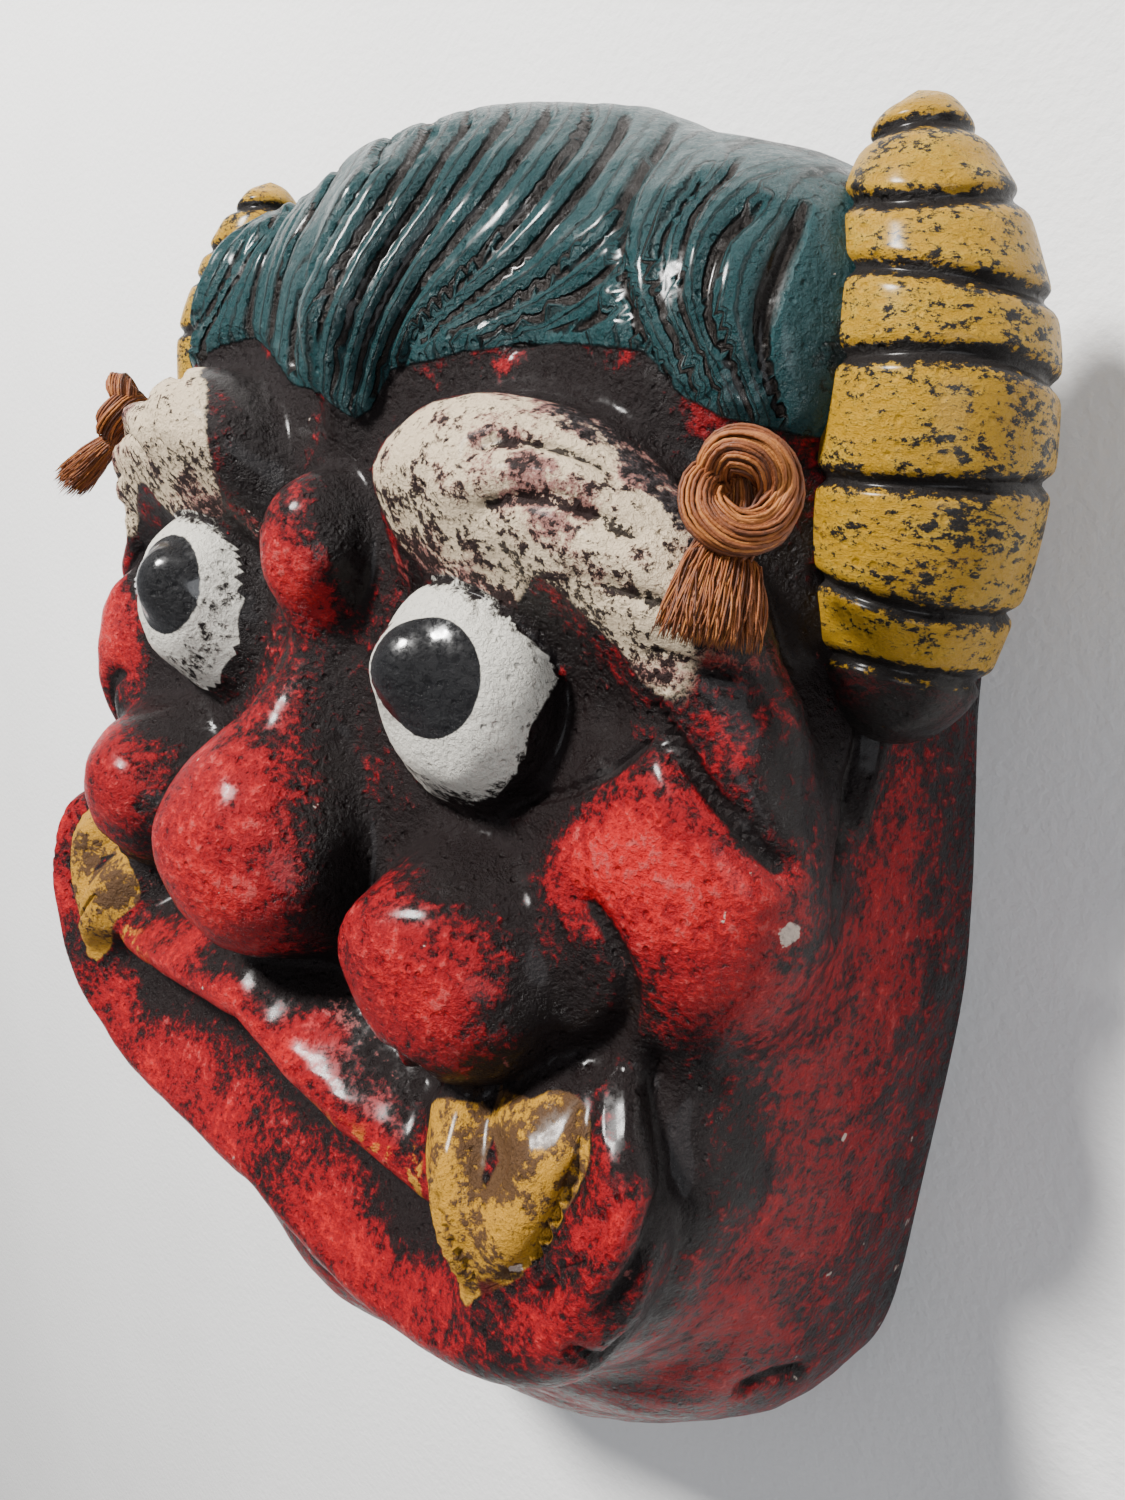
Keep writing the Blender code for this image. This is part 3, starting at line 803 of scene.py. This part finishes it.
def barePlaster(look):
    m, shader = newMaterial("bare_plaster")
    t = m.node_tree
    broad, fine = noise(t, 25, 5, 0.6), noise(t, 300, 6, 0.7)
    colour = over(t, look["pale"], look["stained"], step(t, sums(t, (broad, 1), (fine, 0.5)), 0.6, 0.95))
    colour = over(t, colour, look["dark"], step(t, fine, 0.62, 0.75, 0, 0.5))
    feed(t, shader.inputs["Base Color"], colour)
    feed(t, shader.inputs["Roughness"], step(t, fine, 0.3, 0.7, 0.75, 0.95))
    bump(t, shader, [(fine, 0.0015), (broad, 0.004)])
    return m


hornLook = {"ochre": (0.50, 0.27, 0.010), "pale": (0.68, 0.44, 0.05), "brown": (0.13, 0.060, 0.018),
            "black": (0.012, 0.009, 0.008), "red": (0.16, 0.010, 0.012)}


def hornPaint(look):
    m, shader = newMaterial("horn_paint")
    t = m.node_tree
    broad, blot = noise(t, 55, 5, 0.6), noise(t, 130, 6, 0.72, (1, 1.8, 1))
    fine = noise(t, 520, 6, 0.75, (1, 1.6, 1))
    groove, foot = attribute(t, "groove"), attribute(t, "foot")
    colour = over(t, look["ochre"], look["pale"], step(t, sums(t, (blot, 1), (fine, 0.8)), 0.84, 1.12))
    dulled = sums(t, (broad, 1.4), (fine, 1.6), (groove, 0.2), -1.5)
    colour = over(t, colour, look["brown"], step(t, dulled, 0.16, 0.40))
    lower = over(t, look["black"], look["red"], step(t, sums(t, (blot, 1.5), (fine, 1.5), -1.5), -0.02, 0.14))
    colour = over(t, colour, lower, step(t, sums(t, (foot, 1), (fine, 2.0), (blot, 1.0), -1.5), 0.35, 0.55))
    # black in the grooves and worn patches, and through edge on the outer side and at the foot, where it is
    # painted shade
    worn = sums(t, (groove, 0.8), (broad, 0.8), (blot, 1.8), (fine, 2.6), (attribute(t, "edge"), 0.8), -2.6)
    colour = over(t, colour, look["black"], step(t, worn, 0.20, 0.42))
    feed(t, shader.inputs["Base Color"], colour)
    feed(t, shader.inputs["Roughness"], step(t, sums(t, (fine, 1), (blot, 0.5)), 0.5, 1.0, 0.34, 0.60))
    shader.inputs["Specular IOR Level"].default_value = 0.2
    shader.inputs["Coat Weight"].default_value = 0.2
    shader.inputs["Coat Roughness"].default_value = 0.2
    pits = step(t, cells(t, 300), 0.1, 0.26)
    bump(t, shader, [(noise(t, 1500, 3), 0.0002), (fine, 0.0012), (blot, 0.0018), (pits, 0.0003)])
    return m


fibreLook = {"dark": (0.055, 0.013, 0.003), "warm": (0.23, 0.060, 0.009), "light": (0.42, 0.15, 0.028)}


def tasselFibre(look):
    m, shader = newMaterial("tassel_fibre")
    t = m.node_tree
    own, fine = attribute(t, "shade"), noise(t, 600, 4, 0.6)
    colour = over(t, look["dark"], look["warm"], step(t, sums(t, (own, 0.7), (fine, 0.6)), 0.2, 0.75))
    colour = over(t, colour, look["light"], step(t, sums(t, (own, 0.8), (fine, 0.5)), 0.75, 1.15))
    feed(t, shader.inputs["Base Color"], colour)
    feed(t, shader.inputs["Roughness"], step(t, fine, 0.3, 0.7, 0.55, 0.8))
    bump(t, shader, [(noise(t, 2200, 3), 0.0002)])
    return m


floorPiece = {"pale": (0.90, 0.895, 0.885), "shade": (0.86, 0.855, 0.845), "half": 12, "segments": 40}


def floorPaint(look):
    m, shader = newMaterial("studio_floor")
    t = m.node_tree
    tone = step(t, noise(t, 6, 4), 0.35, 0.65)
    feed(t, shader.inputs["Base Color"], over(t, look["pale"], look["shade"], tone))
    feed(t, shader.inputs["Roughness"], step(t, noise(t, 90, 3), 0.3, 0.7, 0.75, 0.9))
    bump(t, shader, [(noise(t, 400, 4), 0.0004)])
    return m


# pieces
paintSkin = paintedPlaster(paintLook)
plaster = barePlaster(plasterLook)
maskSkin = pieceFrom(sculpt(maskPiece), "mask_skin", [paintSkin, plaster])
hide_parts("mask")
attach(maskSkin, "root")

# the round points that strands of one kind start from
bodyShapes = {}


def setStrand(made, P, layer, tone):
    for v, p in zip(made, P):
        v.co = place(p)
        v[layer] = tone


def body(bm, path, sides, steps, like=None):
    # a closed round strand whose rows are x, y, z, radius; one copied from an earlier strand is quicker
    if like:
        edges = list(dict.fromkeys(e for v in like for e in v.link_edges))
        faces = list(dict.fromkeys(f for v in like for f in v.link_faces))
        copies = bmesh.ops.duplicate(bm, geom=like + edges + faces)["vert_map"]
        made = [copies[v] for v in like]
        co = bodyShapes[sides, steps]
    else:
        made = bmesh.ops.create_uvsphere(bm, u_segments=sides, v_segments=steps, radius=1)["verts"]
        co = bodyShapes[sides, steps] = np.array([v.co[:] for v in made])
    s = np.arccos(np.clip(-co[:, 2], -1, 1)) / math.pi
    turn = np.arctan2(co[:, 1], co[:, 0])
    run = np.concatenate([[0], np.cumsum(np.linalg.norm(np.diff(path[:, :3], axis=0), axis=1))])
    way = np.gradient(path[:, :3], axis=0)
    at = s * run[-1]
    c = np.stack([np.interp(at, run, path[:, k]) for k in range(4)], -1)
    w = np.stack([np.interp(at, run, way[:, k]) for k in range(3)], -1)
    w /= np.maximum(np.linalg.norm(w, axis=1, keepdims=True), 1e-9)
    a = np.cross(w, (0.0, 0.0, 1.0))
    a /= np.maximum(np.linalg.norm(a, axis=1, keepdims=True), 1e-9)
    b = np.cross(w, a)
    r = np.where((s > 1e-4) & (s < 1 - 1e-4), c[:, 3], 0)
    P = c[:, :3] + a * (np.cos(turn) * r)[:, None] + b * (np.sin(turn) * r)[:, None]
    return made, P, turn


hornPiece = {"around": 150, "along": 190, "rings": [20, 32, 50, 66, 79, 90, 99], "ringWidth": 1.25,
             "ringDepth": 1.7, "footTop": 23, "footFade": 6}


def makeHorn(side, name, look, paintOf):
    bm = bmesh.new()
    path = spline(hornRows, 8)
    path[:, 0] *= side
    layers = [bm.verts.layers.float.new(k) for k in ("groove", "edge", "foot")]
    made, P, turn = body(bm, path, look["around"], look["along"])
    centre = np.stack([np.interp(P[:, 1], path[:, 1], path[:, k]) for k in (0, 2)], -1)
    out = P - np.stack([centre[:, 0], P[:, 1], centre[:, 1]], -1)
    out /= np.maximum(np.linalg.norm(out, axis=1, keepdims=True), 1e-9)
    groove = np.zeros(len(P))
    for i, ring in enumerate(look["rings"]):
        lean = 1.3 * np.sin(turn + i * 1.9) + wobble(P, 11 + i, 0.12, 0.5)
        groove = np.maximum(groove, np.exp(-((P[:, 1] + lean - ring) / look["ringWidth"]) ** 2))
    P = P + out * (wobble(P, 5, 0.22, 0.22) - look["ringDepth"] * groove)[:, None]
    # edge is higher on the horn's outer side and below its foot line, where the paint is darkened as painted
    # shade
    toward = np.clip((out[:, 0] * side) * 0.2 + 0.5 + 0.5 * (P[:, 1] < 22), 0, 1)
    for v, p, g, e in zip(made, P, groove, toward):
        v.co = place(p)
        v[layers[0]] = float(g)
        v[layers[1]] = float(e) * 0.3
        v[layers[2]] = max(0.0, min(1.0, (look["footTop"] - p[1]) / look["footFade"]))
    bmesh.ops.recalc_face_normals(bm, faces=bm.faces[:])
    piece = pieceFrom(bm, name, [paintOf])
    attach(piece, "root")


hornSkin = hornPaint(hornLook)
makeHorn(1, "horn_right", hornPiece, hornSkin)
makeHorn(-1, "horn_left", hornPiece, hornSkin)

# the right brush hangs where the photograph has it; the left one is given from its knot, in millimetres
tasselPiece = {"holePoint": (88, 46, 70), "holeWay": (-0.62, -0.12, -0.78), "away": 12.0,
               "shift": (2.6, -2.6, -2.6), "bundle": 3.1, "strand": 0.3, "strands": 110,
               "strandSides": 5, "strandSteps": 44, "fibres": 900, "fibre": 0.2, "fibreSides": 4,
               "fibreSteps": 12, "gap": 1.2, "knotSize": 0.74, "flat": 0.6, "radii": [3.0, 5.0, 7.0, 8.2],
               "picture": [(738, 512), (724, 556), (714, 602), (706, 648)],
               "left": [(-3, -6, 1), (-8, -10, 3), (-14, -15, 5), (-19, -20, 7)]}
# the knot's middle line about its centre: across, up and out of the face
knotPath = [(0, 0, -12), (-1, 2, -6), (-5, 4, -1), (-3, 8, 3), (3.5, 7.5, 4), (7.5, 2, 2), (6, -4.5, 3),
            (0, -6.8, 5.2), (-6.2, -3.5, 4), (-7, 2, 0), (-2, 3, -4), (0.5, -3, -2.5), (0, -9, 0),
            (-1, -13, 0)]


def outside(P):
    # distance to the nearer of the face and the horns
    return np.minimum(face(P), horn(P))


def pushOut(P, room):
    # points nearer than this room are moved out along the slope
    P = P.copy()
    for i in range(8):
        here = outside(P)
        slope = np.stack([outside(P + np.eye(3)[k] * 0.5) - here for k in range(3)], -1)
        slope /= np.maximum(np.linalg.norm(slope, axis=1, keepdims=True), 1e-6)
        P += slope * np.clip(room - here, 0, 3)[:, None]
    return P


def makeTassel(side, name, look, paintOf):
    chance = random.Random(40 + side)
    n = np.array(look["holeWay"]) * (-side, -1, -1)
    n /= np.linalg.norm(n)
    e1 = np.cross((0, 1, 0), n)
    e1 /= np.linalg.norm(e1)
    e2 = np.cross(n, e1)
    door = np.array(look["holePoint"]) * (side, 1, 1)
    knot = door + n * look["away"] + np.array(look["shift"]) * (side, 1, 1)
    bm = bmesh.new()
    shade = bm.verts.layers.float.new("shade")
    rows = np.array(knotPath, float) * look["knotSize"]
    rows = knot + rows[:, :1] * side * e1 + rows[:, 1:2] * e2 + rows[:, 2:] * n
    rows[0] = door
    centre = spline(rows, 6)
    way = np.gradient(centre, axis=0)
    way /= np.linalg.norm(way, axis=1, keepdims=True)
    a = np.cross(way, n + 0.13 * e2)
    a /= np.linalg.norm(a, axis=1, keepdims=True)
    b = np.cross(way, a)
    # the cord is thinner in its hole
    last = len(centre) - 1
    narrow = np.interp(np.arange(len(centre)), [0, 8, 14, last - 9, last], [0.5, 0.62, 1, 1, 0.9])
    first = None
    for i in range(look["strands"]):
        q = look["bundle"] * (0.25 + 0.75 * math.sqrt((i + 0.5) / look["strands"]))
        turn = i * 2.4 + np.linspace(0, 4.5, len(centre))
        wave = 0.4 * np.sin(np.linspace(0, chance.uniform(6, 26), len(centre)) + chance.uniform(0, 6))
        spread = (q + wave) * narrow
        line = centre + a * (spread * np.cos(turn))[:, None] + b * (spread * np.sin(turn))[:, None]
        path = np.column_stack([line, np.full(len(line), look["strand"])])
        made, P = body(bm, path, look["strandSides"], look["strandSteps"], first)[:2]
        first = first or made
        setStrand(made, P, shade, chance.random())
    size = np.array(look["radii"])
    if side > 0:
        hang = landing(look["picture"], outside, 0.6 * size + look["gap"])
        hang[0] = knot - e2 * 7
    else:
        hang = pushOut(knot + np.array(look["left"], float), 0.6 * size + look["gap"])
    line = spline(np.column_stack([hang, size]), 4)
    way = np.gradient(line[:, :3], axis=0)
    way /= np.linalg.norm(way, axis=1, keepdims=True)
    a = np.cross(way, n)
    a /= np.linalg.norm(a, axis=1, keepdims=True)
    b = np.cross(way, a)
    paths = []
    for i in range(look["fibres"]):
        off = line[:, 3] * math.sqrt(chance.random()) * 0.96
        turn = chance.uniform(0, 2 * math.pi)
        wave = np.sin(np.linspace(0, chance.uniform(3, 9), len(line)) + chance.uniform(0, 6))
        wave *= chance.uniform(0.2, 1.0)
        paths.append(line[:, :3] + a * (off * math.cos(turn) + wave)[:, None]
                     + b * (off * math.sin(turn) * look["flat"] + wave * 0.5)[:, None])
    pushed = pushOut(np.concatenate(paths), 0.9).reshape(len(paths), -1, 3)
    first = None
    for path in pushed:
        keep = max(6, int(len(line) * chance.uniform(0.80, 1.0) + 0.5))
        thick = look["fibre"] * np.linspace(1.0, 0.75, keep)
        rows = np.column_stack([path[:keep], thick])
        made, P = body(bm, rows, look["fibreSides"], look["fibreSteps"], first)[:2]
        first = first or made
        setStrand(made, P, shade, chance.random())
    piece = pieceFrom(bm, name, [paintOf])
    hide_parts(name)
    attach(piece, "root")


fibrePaint = tasselFibre(fibreLook)
makeTassel(1, "tassel_right", tasselPiece, fibrePaint)
makeTassel(-1, "tassel_left", tasselPiece, fibrePaint)

# floor, light and camera, in metres
bm = bmesh.new()
bmesh.ops.create_grid(bm, x_segments=floorPiece["segments"], y_segments=floorPiece["segments"],
                      size=floorPiece["half"])
floor = pieceFrom(bm, "studio_floor", [floorPaint(floorPiece)])

scene = bpy.context.scene
world = bpy.data.worlds.new("studio")
world.use_nodes = True
world.node_tree.nodes["Background"].inputs[0].default_value = (0.93, 0.95, 1.0, 1)
world.node_tree.nodes["Background"].inputs[1].default_value = 0.30
scene.world = world


def lamp(name, where, target, size, power, colour):
    data = bpy.data.lights.new(name, "AREA")
    data.shape = "DISK"
    data.size = size
    data.energy = power
    data.color = colour
    lampObject = bpy.data.objects.new(name, data)
    way = Vector(target) - Vector(where)
    lampObject.rotation_euler = way.to_track_quat("-Z", "Y").to_euler()
    lampObject.location = where
    scene.collection.objects.link(lampObject)


lamp("key", (-0.40, 0.85, 0.95), (0, 0.04, 0.04), 0.24, 50, (1.0, 0.98, 0.95))
lamp("fill", (0.9, 0.2, 0.9), (0.02, 0.02, 0.05), 0.7, 5, (0.92, 0.95, 1.0))

right, up, back = viewAxes()
camera = bpy.data.objects.new("camera", bpy.data.cameras.new("camera"))
camera.data.sensor_width = 36
camera.data.lens = 36 * view["focal"] / max(view["pixels"])
where = place(view["place"])
camera.matrix_world = Matrix([(right[i], up[i], back[i], where[i]) for i in range(3)] + [(0, 0, 0, 1)])
camera.data.clip_start = 0.01
scene.collection.objects.link(camera)
scene.camera = camera
